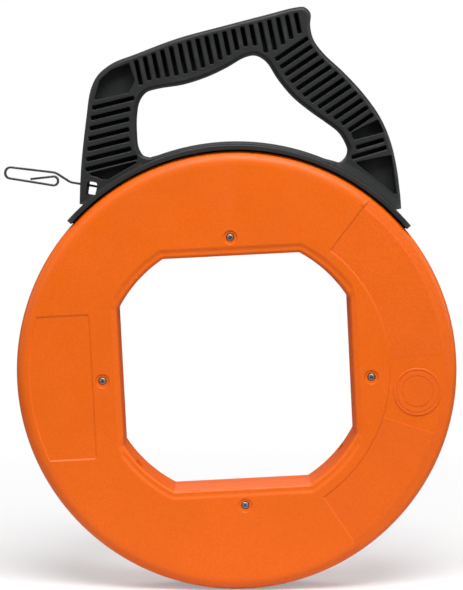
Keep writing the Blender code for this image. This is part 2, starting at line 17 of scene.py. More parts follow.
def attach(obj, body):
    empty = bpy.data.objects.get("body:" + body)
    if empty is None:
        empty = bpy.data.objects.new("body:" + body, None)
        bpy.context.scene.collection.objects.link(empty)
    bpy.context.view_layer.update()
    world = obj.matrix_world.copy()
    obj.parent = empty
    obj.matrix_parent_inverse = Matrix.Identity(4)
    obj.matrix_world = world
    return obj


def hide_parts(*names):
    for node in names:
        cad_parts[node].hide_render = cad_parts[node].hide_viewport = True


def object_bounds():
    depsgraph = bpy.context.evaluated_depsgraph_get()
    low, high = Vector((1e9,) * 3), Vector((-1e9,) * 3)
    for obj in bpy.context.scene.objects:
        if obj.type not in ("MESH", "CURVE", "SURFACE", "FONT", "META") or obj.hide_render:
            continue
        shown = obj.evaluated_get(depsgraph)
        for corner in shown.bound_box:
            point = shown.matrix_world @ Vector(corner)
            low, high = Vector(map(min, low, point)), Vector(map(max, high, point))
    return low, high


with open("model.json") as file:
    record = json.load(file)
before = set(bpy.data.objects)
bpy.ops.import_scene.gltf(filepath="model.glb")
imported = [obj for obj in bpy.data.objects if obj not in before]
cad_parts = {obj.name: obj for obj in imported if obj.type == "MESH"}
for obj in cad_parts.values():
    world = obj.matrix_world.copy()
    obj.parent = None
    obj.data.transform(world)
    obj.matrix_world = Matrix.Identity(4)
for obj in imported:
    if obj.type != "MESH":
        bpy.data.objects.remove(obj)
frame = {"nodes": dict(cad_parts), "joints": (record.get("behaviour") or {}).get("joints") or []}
CAD_LOW, CAD_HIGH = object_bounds()

MM = 0.001
SPIN = next(joint for joint in frame["joints"] if joint["name"] == "reel_spin")
AXIS = Vector(SPIN["pos_m"])
REST_TURN = math.radians(2.9)
GAP = 0.3
CUT_PAST = 0.5  # how far a cutter reaches past the face it cuts

# --- case ---
CASE_R = 145.0
CASE_HALF = 22.5
WALL = 2.5
RIM_WALL = 3.0
RIM_START = 136.0  # the face slopes gently from here to the rim's rounding
RIM_TILT = 4.0
RIM_R = 8.0
RIM_STEPS = 12
HOLLOW_STEPS = 4
SLOT_HALF = 4.1
SLOT_EDGE = 0.5
PARTING = 0.15
BORE = (76.4, 76.4, 88.6)  # square hole with its corners cut round: axis to side, top and corner
HOLE_EASE = 2.5
BORE_BLANK = 70.0
BORE_WALL = 3.0
BORE_ROUND = 2.2
BORE_DRAFT = 0.5  # the hole is this much narrower at the parting, where its edges are bevelled
BORE_BEVEL = (-0.2, 0.45)  # heights between which that bevel runs, at 45 degrees
BORE_END = 70.0  # slope at the end of the rounding
BORE_BEHIND = -6.0
MOUTH = (78.1, 81.4, 93.6)
MOUTH_DEPTH = 0.9
MOUTH_SLOPE = 1.6  # half the width of the soft slope round the mouth
MOUTH_LIP = 0.02
MOUTH_STEPS = 6
DRUM_R = 97.2
DRUM_WALL = 2.4
CASE_STEPS = 180
PANEL_DEPTH = 0.6
SMOOTH_DEPTH = 0.68
PANEL_EDGE = 1.0  # width of the panels' sloping edges
PANEL_CORNER = 2.0
PANEL_PAST = 0.35  # takes the right panel's outer edge past the start of its fall
PANEL_OUT = 135.6  # from here the right panel's floor falls and runs out on the rim's rounding
LEDGE = (1.2, 0.39)  # a small ledge at the start of the fall: width and drop
RUN_OUT = 144.0
RUN_TILT = 8.0
RUN_LIFT = 0.05  # the fall starts this far above the panel's floor
RUN_ENDS = 0.3  # and stops this many degrees short of the panel's ends
LEFT_PANEL_OUT = 136.6
LEFT_PANEL = (-94.5, 161.6, 202.8)
RIGHT_PANEL = (100.0, -58.6, 50.0)
SMOOTH_SECTOR = (-20.7, 2.4)  # the part of the right panel without grain
PAD = (119.3, -9.2, 15.8)
PAD_ROOT = 0.5
PAD_SINK = 0.1  # the pad's top lies this far below the face
PAD_GROOVE = 0.25
PAD_EASE = 0.15
PAD_EDGE = 0.35
PAD_MIDDLE = 1.0
PAD_RINGS = ((14.2, 13.4), (10.6, 9.8))  # shallow grooves in the pad: outer and inner radius
SNAPS = {-1: ((220.5, 40.5), 9.5, 20.3), 1: ((319.5, 139.5), 3.0, 17.0)}  # angles and span in depth
SNAP_HALF = 2.4
SNAP_REACH = (1.5, 1.0)  # the windows' cutters reach this far past the wall, inwards and outwards

# --- case screws ---
SCREW_CIRCLE = 88.4
SCREW_ANGLES = {"top": 90.0, "left": 181.0, "bottom": 270.7, "right": -5.1}
BOSS_R = 6.9
RECESS_R = 4.5
RECESS_DEPTH = 0.8
SEAT_R = 2.7
SEAT_DEPTH = 2.6
SCREW_R = 1.8
SCREW_HEAD_R = 2.5
SCREW_HEAD = 1.7
SCREW_LENGTH = 31.0
SCREW_POINT = 1.6
HEAD_LIFT = 0.2  # the head stays this far off its seat
HEAD_DOME = ((1.0, 0.45), (0.93, 0.68), (0.8, 0.86), (0.62, 0.97), (0.3, 1.0))  # radius, height
THREAD = (12, 2.2, 1.25, 0.35)  # rings, start from the tip, pitch and depth
CROSS_ARM = 1.35
CROSS_HALF = 0.34
CROSS_DEPTH = 0.9
CROSS_TURN = 20.0
BLIND_END = 7.0  # the rear half's screw holes stop this far short of its face
RECESS_EASE = 0.25
RECESS_LIP = 0.2  # bevels at the foot and the top of the recess's wall
RECESS_DRAFT = 0.05
RECESS_PAST = (0.6, 0.3)  # end of the top bevel's cutter, outwards and past the face

# --- tape ---
TAPE_W = 3.0
TAPE_T = 1.5
TAPE_LENGTH = 30000.0
TAPE_EASE = 0.35
COIL_HALF = 17.0
ROW_PITCH = TAPE_W + 0.05
LAYER_PITCH = TAPE_T + 0.02
COIL_STEPS = 60
COIL_START = 14.0  # the first full turn starts this many degrees past the anchor
ANCHOR = (88.2, 164.0)
POST_R = 3.2
POST_FOOT = 1.4  # the post's foot is this much wider
ANCHOR_HOLE = 15.0
NOTCH_HALF = 2.2
NOTCH_REACH = 2.0
EYE_Y = 5.5  # plane of the eye at the tape's inner end
EYE_TURN = 300.0
ENTRY = 3.0  # from the eye the tape runs straight to this depth under the drum's surface
LEAD_TILT = 9.2
LEAD_LINE = 105.0
LEAD_RUN = 128.5
LEAD_LOOP = (
    (-120.0, 130.6, 8.0), (-152.5, 134.4, 3.45), (-153.8, 127.3, 3.45),
    (-118.2, 121.6, 2.9), (-118.4, 128.3, 2.8), (-136.5, 126.3, 0.0),
)
CHANNEL = 0.6

# --- guide ring ---
BAND_IN = 139.0
BAND_OUT = 141.6
BAND_HALF = 9.0
NECK_OUT = 144.3
NECK_HALF = 3.7
RING_ANGLES = (131.5, 117.5, 57.0, 47.0)
RING_SCREW_R = 1.5
RING_SCREWS = (130.0, 140.0, 150.8)  # the screw holes' start in ring and handle, and their end
RING_WINDOW = (80.0, 112.0)  # the tape's channel along its line, through the ring
HANDLE_WINDOW = (92.0, 128.0)  # and through the handle

# --- handle ---
SHOE_IN = 145.6
SHOE_OUT = 148.9
SHOE_HALF = 21.0
SHOE_SPAN = (40.1, 138.2)
GRIP_HALF = 15.0
WEB_HALF = 2.0
POCKET_FLOOR = 6.5  # half the thickness left under the pockets
EDGE = 2.8
EDGE_STEPS = 6
FOOT_R = 145.9
SILL_R = 151.2
FLARES = ((38.0, 66.0, 155.5), (114.5, 141.0, 150.9))
BODY_OUTLINE = (
    (-103.3, 110.0), (-103.0, 120.0), (-102.0, 137.0), (-98.7, 166.0), (-95.7, 185.0),
    (-90.8, 194.6), (-81.2, 202.2), (-66.6, 207.9), (-38.8, 218.3), (-9.9, 226.1),
    (19.0, 233.6), (38.1, 238.4), (44.2, 238.6), (48.2, 234.6), (48.0, 226.6),
    (50.2, 217.5), (57.4, 207.9), (69.0, 197.2), (82.6, 182.8), (94.3, 166.5),
    (101.1, 150.6), (105.2, 133.2), (107.6, 115.0), (108.2, 107.0),
)
OPENING_OUTLINE = (
    (-57.2, 140.6), (-62.3, 142.2), (-65.3, 147.5), (-66.3, 157.0), (-66.3, 168.0),
    (-64.6, 177.5), (-60.3, 183.6), (-52.5, 186.2), (-35.5, 189.0), (-19.8, 194.0),
    (-6.0, 200.5), (5.0, 206.8), (12.5, 208.2), (19.6, 204.2), (27.3, 192.7),
    (37.1, 181.0), (48.9, 171.3), (60.0, 163.5), (67.8, 157.4), (72.0, 151.0),
    (73.9, 145.5), (72.5, 140.8), (68.2, 137.4), (62.4, 138.6),
)
CORNER_POCKET = (
    (-93.2, 177.9, 0.8), (-70.9, 182.9, 1.5), (-66.8, 190.5, 2.0), (-70.6, 202.0, 0.8),
    (-81.9, 197.6, 3.0), (-89.5, 191.0, 3.0),
)
LEFT_POCKET = (
    (-98.9, 129.4, 0.8), (-66.2, 137.6, 0.3), (-66.0, 136.8, 0.3), (-84.8, 126.2, 1.5),
    (-88.2, 126.2, 1.5), (-92.6, 128.0, 1.5),
)
ARM_POCKET = ((74.8, 156.6, 0.8), (92.6, 165.4, 0.8), (96.4, 157.0, 0.8), (76.6, 152.0, 1.5))
RIGHT_POCKET = ((77.6, 137.2, 0.8), (101.4, 142.2, 0.8), (105.0, 115.4, 0.8))
POCKETS = (CORNER_POCKET, LEFT_POCKET, ARM_POCKET, RIGHT_POCKET)
WINDOW = ((-97.9, 125.1, 0.8), (-91.4, 124.0, 1.6), (-92.6, 115.3, 0.8), (-99.2, 116.3, 0.8))
SPLINE_STEPS = 5
FOOT_EASE = 1.5  # degrees by which the feet's arc stops short of the outline's ends
SILL_EASE = 2.0  # and the sill's arc of the opening's
OPENING_ROUND = 2.4
FLARE_SIDE = 0.3  # the flares stay this far inside the shoe's side
FLARE_FOOT = (1.0, 0.6)  # how far they reach into the shoe, and stand out of it at its side
TRIM = (-0.1, 0.25)  # moves the flares' trim just inside the body's side
TRIM_INSET = 0.4
TRIM_REACH = (40.0, 41.0)  # half the depth of the two trimming tools
SLOT_W = 2.5
SLOT_CORNER = 0.7
SLOT_MOUTH = 1.05  # rounding of the slots' edges
MOUTH_FLARE = 0.6  # slope of the cutters past the face
FLOOR_EASE = (0.15, 0.4)  # small bevel round a slot's or pocket's floor
POCKET_MOUTH = 0.7
BAR_SLOTS = (19, 6.16, (-66.2, 204.6), -78.0)
ARM_SLOTS = (12, 5.91, (46.3, 218.2), 33.8)
POST_SLOTS = (7, 6.35, (-95.7, 172.4), 13.8)
LOW_SLOTS = (2, 5.3, (97.6, 152.5), 16.5)
BAR_OPEN_X = 12.0  # left of this the bar's slots end at the hand opening
BAR_STOP = 0.95  # right of it, this many arm spacings above the arm's first slot
BAR_ENDS = (4.0, 5.6)
ARM_ENDS = (3.4, 4.6)
POST_ENDS = (3.6, 4.4)
LOW_ENDS = (4.0, 4.6)

# --- floor, in metres: radii of its rings, and its distance below the reel ---
FLOOR_RINGS = (0.3, 0.8, 2.0, 6.0, 20.0)
FLOOR_GAP = 0.0005

# --- camera, as seen from the case's axis ---
VIEW_ELEVATION = 5.58
VIEW_AZIMUTH = -0.5
VIEW_DISTANCE = 1.40
VIEW_LENS = 128.1
AIM = Vector((-0.0034, 0.0, 0.0493))

# --- lights: name, distance, azimuth, elevation, width, height and power ---
LIGHTS = (
    ("key", 1.6, 8.0, 57.0, 1.2, 0.8, 30.0),
    ("front_left", 1.8, -42.0, 22.0, 0.9, 0.9, 4.6),
    ("front_right", 1.8, 46.0, 22.0, 0.9, 0.9, 6.2),
    ("side_left", 1.6, -97.0, 14.0, 0.8, 0.8, 3.5),
    ("side_right", 1.6, 97.0, 14.0, 0.8, 0.8, 4.0),
    ("back", 2.0, 195.0, 42.0, 1.4, 1.0, 12.0),
)
LIT = Vector((0.0, 0.0, 0.05))  # the point the lights look at, from the case's axis
AMBIENT = 0.1  # strength of the white surroundings as a light; seen directly they are 1


# ---------- materials ----------


class Shader:
    """A material's node tree with short calls for the nodes used here."""

    def __init__(self, name):
        self.material = bpy.data.materials.new(name)
        self.material.use_nodes = True
        self.tree = self.material.node_tree
        self.surface = self.tree.nodes["Principled BSDF"]
        self.place = self.tree.nodes.new("ShaderNodeTexCoord").outputs["Object"]

    def node(self, kind, inputs=(), **settings):
        made = self.tree.nodes.new(kind)
        for key, value in settings.items():
            setattr(made, key, value)
        for key, value in dict(inputs).items():
            self.set(made.inputs[key], value)
        return made

    def set(self, socket, value):
        if isinstance(value, bpy.types.NodeSocket):
            self.tree.links.new(value, socket)
        else:
            socket.default_value = value

    def scaled(self, factors):
        """The piece's own coordinates, stretched."""
        made = self.node("ShaderNodeMapping", {"Vector": self.place, "Scale": factors})
        return made.outputs["Vector"]

    def noise(self, scale, detail=2.0, vector=None):
        inputs = {"Vector": vector or self.place, "Scale": scale, "Detail": detail}
        return self.node("ShaderNodeTexNoise", inputs).outputs["Fac"]

    def dots(self, scale):
        inputs = {"Vector": self.place, "Scale": scale, "Smoothness": 0.4}
        return self.node("ShaderNodeTexVoronoi", inputs, feature="SMOOTH_F1").outputs["Distance"]

    def span(self, value, low, high, start=0.0, end=1.0):
        """value from low..high stretched to start..end and clamped."""
        inputs = {"Value": value, "From Min": low, "From Max": high, "To Min": start, "To Max": end}
        return self.node("ShaderNodeMapRange", inputs).outputs["Result"]

    def mix(self, factor, first, second):
        made = self.node("ShaderNodeMix", data_type="RGBA")
        sockets = (made.inputs[0], made.inputs[6], made.inputs[7])
        for socket, value in zip(sockets, (factor, first, second)):
            self.set(socket, value)
        return made.outputs[2]

    def math(self, operation, first, second):
        made = self.node("ShaderNodeMath", operation=operation)
        self.set(made.inputs[0], first)
        self.set(made.inputs[1], second)
        return made.outputs[0]

    def bump(self, height, distance, normal=None):
        inputs = {"Height": height, "Distance": distance}
        if normal:
            inputs["Normal"] = normal
        return self.node("ShaderNodeBump", inputs).outputs["Normal"]

    def finish(self, **inputs):
        for key, value in inputs.items():
            self.set(self.surface.inputs[key.replace("_", " ")], value)
        return self.material


def rgb(colour, factor=1.0):
    return (*(channel * factor for channel in colour), 1.0)


def worn_edges(shader, reach):
    """1 on outer edges and 0 on flats, broken up by noise."""
    point = shader.node("ShaderNodeNewGeometry").outputs["Pointiness"]
    edge = shader.span(point, 0.5 + reach, 0.5 + 3 * reach)
    return shader.math("MULTIPLY", edge, shader.span(shader.noise(160.0, 4.0), 0.35, 0.65))


def moulded_plastic(name, colour, roughness, grain, dots=0.0, worn=0.22):
    """Moulded plastic: cloudy colour, fine grain, faint rubbed streaks and paler worn edges."""
    shader = Shader(name)
    cloud = shader.span(shader.noise(26.0, 3.0), 0.3, 0.7)
    speck = shader.span(shader.noise(900.0, 2.0), 0.35, 0.65)
    tone = shader.mix(cloud, rgb(colour, 0.955), rgb(colour, 1.03))
    tone = shader.mix(shader.math("MULTIPLY", speck, 0.6), tone, rgb(colour, 0.85))
    streak = shader.noise(1.0, 3.0, shader.scaled((260.0, 260.0, 22.0)))
    rubbed = shader.span(streak, 0.62, 0.75)
    wear = shader.math("MULTIPLY", worn_edges(shader, 0.02), worn)
    pale = tuple(min(1.0, 0.75 * channel + 0.12) for channel in colour)
    tone = shader.mix(wear, tone, rgb(pale))
    rough = shader.span(shader.noise(70.0, 4.0), 0.3, 0.7, roughness - 0.05, roughness + 0.06)
    rough = shader.math("SUBTRACT", rough, shader.math("MULTIPLY", rubbed, 0.04))
    normal = shader.bump(shader.noise(1100.0, 2.0), 0.00006 * grain)
    if dots:
        normal = shader.bump(shader.dots(430.0), 0.0001 * dots, normal=normal)
    return shader.finish(
        Base_Color=tone, Roughness=rough, Normal=normal, IOR=1.45, Specular_IOR_Level=0.36
    )


def metal(name, colour, roughness, stretch, stain):
    """Drawn or plated steel: fine lines along one direction and cloudy dark stains."""
    shader = Shader(name)
    lines = shader.noise(1.0, 4.0, shader.scaled(stretch))
    cloud = shader.span(shader.noise(240.0, 4.0), 0.4, 0.72)
    tone = shader.mix(shader.span(lines, 0.3, 0.7), rgb(colour, 0.85), rgb(colour, 1.15))
    tone = shader.mix(shader.math("MULTIPLY", cloud, stain), tone, rgb(colour, 0.45))
    rough = shader.span(lines, 0.3, 0.7, roughness - 0.06, roughness + 0.1)
    rough = shader.math("ADD", rough, shader.math("MULTIPLY", cloud, 0.12))
    normal = shader.bump(lines, 0.00002)
    return shader.finish(Base_Color=tone, Roughness=rough, Metallic=1.0, Normal=normal)


def stage_material(colour):
    """Pale matt floor that turns into the plain background with distance."""
    shader = Shader("stage")
    shader.surface.inputs["Base Color"].default_value = rgb(colour)
    shader.surface.inputs["Roughness"].default_value = 0.9
    dust = shader.span(shader.noise(9.0, 3.0), 0.3, 0.7)
    tone = shader.mix(dust, rgb(colour, 0.985), rgb(colour))
    shader.set(shader.surface.inputs["Base Color"], tone)
    far = shader.node("ShaderNodeVectorMath", {0: shader.place}, operation="LENGTH")
    spread = shader.span(far.outputs["Value"], 0.12, 0.7, 0.3, 1.0)
    seen = shader.node("ShaderNodeLightPath").outputs["Is Camera Ray"]
    strength = shader.span(seen, 0.0, 1.0, AMBIENT, 1.0)
    glow = shader.node("ShaderNodeEmission", {"Color": (1, 1, 1, 1), "Strength": strength})
    blend = shader.node("ShaderNodeMixShader", {0: spread})
    shader.tree.links.new(shader.surface.outputs[0], blend.inputs[1])
    shader.tree.links.new(glow.outputs[0], blend.inputs[2])
    output = shader.tree.nodes["Material Output"]
    shader.tree.links.new(blend.outputs[0], output.inputs["Surface"])
    return shader.material


# ---------- mesh helpers ----------


def solid(name, points, faces, finish=None):
    """A closed mesh object facing outwards."""
    data = bpy.data.meshes.new(name)
    data.from_pydata([(x * MM, y * MM, z * MM) for x, y, z in points], [], faces)
    work = bmesh.new()
    work.from_mesh(data)
    bmesh.ops.remove_doubles(work, verts=work.verts, dist=1e-6)
    bmesh.ops.recalc_face_normals(work, faces=work.faces)
    work.to_mesh(data)
    work.free()
    if finish:
        data.materials.append(finish)
    made = bpy.data.objects.new(name, data)
    bpy.context.scene.collection.objects.link(made)
    return made


def merged(name, pieces):
    """Several separate closed solids as one object."""
    work = bmesh.new()
    for piece in pieces:
        work.from_mesh(piece.data)
    data = pieces[0].data.copy()
    work.to_mesh(data)
    work.free()
    made = bpy.data.objects.new(name, data)
    bpy.context.scene.collection.objects.link(made)
    for piece in pieces:
        bpy.data.objects.remove(piece, do_unlink=True)
    return made


def carved(target, steps):
    """The target after its Booleans, (operation, tool) in order; the tools are removed."""
    for operation, tool in steps:
        step = target.modifiers.new(tool.name, "BOOLEAN")
        step.operation = operation
        step.solver = "EXACT"
        step.material_mode = "TRANSFER"
        step.object = tool
        tool.hide_render = True
    bpy.context.view_layer.update()
    graph = bpy.context.evaluated_depsgraph_get()
    data = bpy.data.meshes.new_from_object(target.evaluated_get(graph))
    target.modifiers.clear()
    target.data = data
    for _, tool in steps:
        bpy.data.objects.remove(tool, do_unlink=True)
    return target


def ready(piece, body, nodes=(), turned_case=False, angle=32.0, flats=False):
    """Puts a drawn piece in its place, shades it, hangs it under its body's empty and hides the CAD
    parts it stands for.

    With flats, faces that look straight forwards or backwards are shaded flat up to their edges.
    """
    turn = Matrix.Rotation(-REST_TURN if turned_case else 0.0, 4, "Y")
    piece.data.transform(Matrix.Translation(AXIS) @ turn)
    piece.data.shade_smooth()
    piece.data.set_sharp_from_angle(angle=math.radians(angle))
    for face in piece.data.polygons:
        if flats and abs(face.normal.y) > 0.9999:
            for loop in face.loop_indices:
                piece.data.edges[piece.data.loops[loop].edge_index].use_edge_sharp = True
    even = piece.modifiers.new("even_shading", "WEIGHTED_NORMAL")
    even.keep_sharp = True
    even.weight = 100
    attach(piece, body)
    if nodes:
        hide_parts(*nodes)
    return piece


def ring_faces(count, rings, closed=False):
    """Quads between successive rings of points, with end caps unless closed."""
    faces = []
    last = rings if closed else rings - 1
    for k in range(last):
        base, above = k * count, (k + 1) % rings * count
        for i in range(count):
            j = (i + 1) % count
            faces.append((base + i, base + j, above + j, above + i))
    if not closed:
        faces.append(tuple(range(count)))
        faces.append(tuple(range((rings - 1) * count, rings * count)))
    return faces


def layers(name, loop, levels, finish=None):
    """A loop of (x, z) stacked at levels of (y, inset), an inset below 0 growing it."""
    points = []
    for y, inset in levels:
        points += [(x, y, z) for x, z in offset_loop(loop, inset)]
    return solid(name, points, ring_faces(len(loop), len(levels)), finish=finish)


def turned(name, profile, steps=CASE_STEPS, finish=None):
    """A closed profile of (radius, y) turned about the case's axis."""
    points = []
    for k in range(steps):
        c, s = polar(1.0, 360.0 * k / steps)
        points += [(r * c, y, r * s) for r, y in profile]
    return solid(name, points, ring_faces(len(profile), steps, closed=True), finish=finish)


def swept(name, profile, start, end, steps, finish=None):
    """A closed profile of (radius, y) swept between two angles."""
    points = []
    for k in range(steps + 1):
        c, s = polar(1.0, start + (end - start) * k / steps)
        points += [(r * c, y, r * s) for r, y in profile]
    return solid(name, points, ring_faces(len(profile), steps + 1), finish=finish)


def pin(name, outline, origin, along, steps=24, finish=None):
    """A solid pin whose outline of (radius, distance) runs from origin along a direction."""
    axis = Vector(along).normalized()
    side = axis.orthogonal().normalized()
    other = axis.cross(side)
    points = []
    for r, d in outline:
        for k in range(steps):
            c, s = polar(r, 360.0 * k / steps)
            points.append(tuple(Vector(origin) + axis * d + side * c + other * s))
    return solid(name, points, ring_faces(steps, len(outline)), finish=finish)


# ---------- geometry in the X-Z plane ----------


def polar(radius, angle):
    a = math.radians(angle)
    return radius * math.cos(a), radius * math.sin(a)


def heading(angle):
    return Vector(polar(1.0, angle))


def left_of(direction):
    return Vector((-direction.y, direction.x))


def angle_of(point):
    return math.degrees(math.atan2(point[1], point[0]))


def arc(radius, start, end, steps, centre=(0.0, 0.0)):
    found = []
    for k in range(steps + 1):
        x, z = polar(radius, start + (end - start) * k / steps)
        found.append((centre[0] + x, centre[1] + z))
    return found


def anticlockwise(loop):
    pairs = zip(loop, loop[1:] + loop[:1])
    area = sum(a[0] * b[1] - b[0] * a[1] for a, b in pairs)
    return list(loop) if area > 0 else list(loop)[::-1]


def offset_loop(loop, inset):
    """A closed loop drawn in by inset, its corners mitred."""
    loop = anticlockwise(loop)
    if not inset:
        return loop
    found = []
    for i, point in enumerate(loop):
        here = Vector(point)
        before = (here - Vector(loop[i - 1])).normalized()
        after = (Vector(loop[(i + 1) % len(loop)]) - here).normalized()
        middle = (left_of(before) + left_of(after)).normalized()
        reach = max(0.35, middle.dot(left_of(after)))
        found.append(tuple(here + middle * inset / reach))
    return found


def smooth_line(points, per_span):
    """Centripetal spline through the points, with per_span steps between neighbours."""
    knots = [Vector(q) for q in points]
    knots = [knots[0] * 2 - knots[1], *knots, knots[-1] * 2 - knots[-2]]
    line = []
    for i in range(1, len(knots) - 2):
        p = knots[i - 1 : i + 3]
        t = [0.0]
        for a, b in zip(p, p[1:]):
            t.append(t[-1] + math.sqrt((b - a).length))
        for k in range(per_span):
            s = t[1] + (t[2] - t[1]) * k / per_span
            a = [p[m].lerp(p[m + 1], (s - t[m]) / (t[m + 1] - t[m])) for m in range(3)]
            b = [a[m].lerp(a[m + 1], (s - t[m]) / (t[m + 2] - t[m])) for m in range(2)]
            line.append(tuple(b[0].lerp(b[1], (s - t[1]) / (t[2] - t[1]))))
    line.append(tuple(points[-1]))
    return line


def rounded(corners, steps=4, closed=True):
    """A polygon or path of (x, z, radius) with each corner replaced by an arc."""
    found = []
    count = len(corners)
    for i, (x, z, radius) in enumerate(corners):
        here = Vector((x, z))
        if radius == 0.0 or (not closed and i in (0, count - 1)):
            found.append((x, z))
            continue
        before = (Vector(corners[i - 1][:2]) - here).normalized()
        after = (Vector(corners[(i + 1) % count][:2]) - here).normalized()
        half = before.angle(after) / 2
        centre = here + (before + after).normalized() * (radius / math.sin(half))
        begin = here + before * (radius / math.tan(half)) - centre
        finish = here + after * (radius / math.tan(half)) - centre
        turn = begin.angle_signed(finish)
        for k in range(steps + 1):
            found.append(tuple(centre + Matrix.Rotation(-turn * k / steps, 2) @ begin))
    return found


def hole_outline(shape, grown=0.0, steps=16):
    """A square loop whose corners are cut by a circle, grown outwards, its sharp turns eased."""
    side, top, reach = (size + grown for size in shape)
    start = math.degrees(math.acos(side / reach))
    end = math.degrees(math.asin(top / reach))
    loop = []
    spans = ((0, start, end), (180, -end, -start), (180, start, end), (360, -end, -start))
    for base, first, last in spans:
        points = arc(reach, base + first, base + last, steps)
        loop += [(*point, 0.0 if 0 < k < steps else HOLE_EASE) for k, point in enumerate(points)]
    return rounded(loop, 3)


def crossings(loop, origin, along):
    """Distances along a line at which it crosses a closed loop."""
    across = left_of(along)
    found = []
    for i, point in enumerate(loop):
        a = Vector(point) - origin
        b = Vector(loop[(i + 1) % len(loop)]) - origin
        da, db = a.dot(across), b.dot(across)
        if (da < 0) != (db < 0):
            found.append(a.lerp(b, da / (da - db)).dot(along))
    return sorted(found)


def slot_loop(origin, along, low, high):
    side = left_of(along) * (SLOT_W / 2)
    near, far = origin + along * low, origin + along * high
    corners = (near - side, far - side, far + side, near + side)
    return rounded([(*corner, SLOT_CORNER) for corner in corners], 3)


def mouth_levels(floor, face, radius):
    """Levels of a cutter that rounds the face's edge; floor and face are heights above y = 0."""
    levels = [(floor, FLOOR_EASE[0]), (floor + FLOOR_EASE[1], 0.0)]
    for k in range(4):
        c, s = polar(radius, 24.0 * k)
        levels.append((face - radius + s, c - radius))
    levels.append((face + CUT_PAST, levels[-1][1] - CUT_PAST * MOUTH_FLARE))
    return levels


def mirrored(levels, side):
    return [(side * y, inset) for y, inset in levels]


# ---------- case ----------


def mirrored_profile(profile):
    return [(r, -y) for r, y in profile]


def rounded_profile(corners, steps=3):
    return rounded([(r, y, radius) for r, y, radius in corners], steps)


def shell_blank(name, side, finish):
    """The turned blank of one half: rim, face, drum wall and the hollow between them."""
    centre = CASE_R - RIM_R
    c, s = polar(RIM_R, 90.0 - RIM_TILT)
    middle = CASE_HALF - s - (centre + c - RIM_START) * math.tan(math.radians(RIM_TILT))
    rim = []
    for k in range(RIM_STEPS + 1):
        c, s = polar(RIM_R, (90.0 - RIM_TILT) * k / RIM_STEPS)
        rim.append((centre + c, middle + s))
    rim.append((RIM_START, CASE_HALF))
    inner = []
    for k in range(HOLLOW_STEPS + 1):
        c, s = polar(RIM_R - RIM_WALL, 90.0 - 90.0 * k / HOLLOW_STEPS)
        inner.append((centre + c, middle + s))
    under = CASE_HALF - WALL
    drum_in = DRUM_R - DRUM_WALL
    profile = [(CASE_R - SLOT_EDGE, SLOT_HALF), (CASE_R, SLOT_HALF + SLOT_EDGE), *rim]
    profile += [(BORE_BLANK, CASE_HALF), (BORE_BLANK, under), (drum_in, under), (drum_in, PARTING)]
    profile += [(DRUM_R, PARTING), (DRUM_R, under), *inner, (CASE_R - RIM_WALL, SLOT_HALF)]
    return turned(name, [(r, side * y) for r, y in profile], finish=finish)


def bore_tools(name, side, finish):
    """Cutters for the hole, its front edge rounded, and for the shallow step at its mouth."""
    floor = CASE_HALF - MOUTH_DEPTH
    past = CASE_HALF + CUT_PAST
    low, high = BORE_BEVEL
    wide = BORE_DRAFT - (high - low)
    levels = [(BORE_BEHIND, wide), (low, wide), (high, BORE_DRAFT), (floor - BORE_ROUND, 0.0)]
    for k in range(1, 5):
        c, s = polar(BORE_ROUND, 18.0 * k)
        levels.append((floor - BORE_ROUND + s, c - BORE_ROUND))
    rise = past - levels[-1][0]
    levels.append((past, levels[-1][1] - rise * math.tan(math.radians(BORE_END))))
    hole = layers(name + "_bore", hole_outline(BORE), mirrored(levels, side), finish)
    levels = []
    for k in range(MOUTH_STEPS + 1):
        lift = (MOUTH_DEPTH + MOUTH_LIP) * (1 - math.cos(math.pi * k / MOUTH_STEPS)) / 2
        levels.append((floor + lift, MOUTH_SLOPE * (1 - 2 * k / MOUTH_STEPS)))
    levels.append((past, -MOUTH_SLOPE - CUT_PAST - 0.1))
    mouth = layers(name + "_mouth", hole_outline(MOUTH), mirrored(levels, side), finish)
    return mouth, hole


def screw_hole(name, angle, side, finish):
    x, z = polar(SCREW_CIRCLE, angle)
    hole = SCREW_R + GAP
    if side > 0:
        outline = [(hole, -1.0), (hole, CASE_HALF - BLIND_END)]
    else:
        seat, floor = CASE_HALF - SEAT_DEPTH, CASE_HALF - RECESS_DEPTH
        outline = [
            (hole, -1.0), (hole, seat), (SEAT_R, seat), (SEAT_R, floor - RECESS_EASE),
            (SEAT_R + RECESS_EASE, floor), (RECESS_R - RECESS_EASE, floor),
            (RECESS_R, floor + RECESS_LIP), (RECESS_R + RECESS_DRAFT, CASE_HALF - RECESS_LIP),
            (RECESS_R + RECESS_PAST[0], CASE_HALF + RECESS_PAST[1]),
        ]
    return pin(name, outline, (x, 0, z), (0, side, 0), 40, finish)


def snap_windows(side, finish):
    """Small openings in the round corner walls, where the two halves catch each other."""
    angles, low, high = SNAPS[side]
    tools = []
    for angle in angles:
        out = heading(angle)
        along = left_of(out) * SNAP_HALF
        near, far = out * (BORE[2] - SNAP_REACH[0]), out * (BORE[2] + BORE_WALL + SNAP_REACH[1])
        loop = [tuple(p) for p in (near - along, far - along, far + along, near + along)]
        tools.append(layers("snap", loop, mirrored([(low, 0.0), (high, 0.0)], side), finish))
    return merged("snaps", tools)


def sector(inner, outer, start, end):
    return arc(outer, start, end, 48) + arc(inner, end, start, 36)


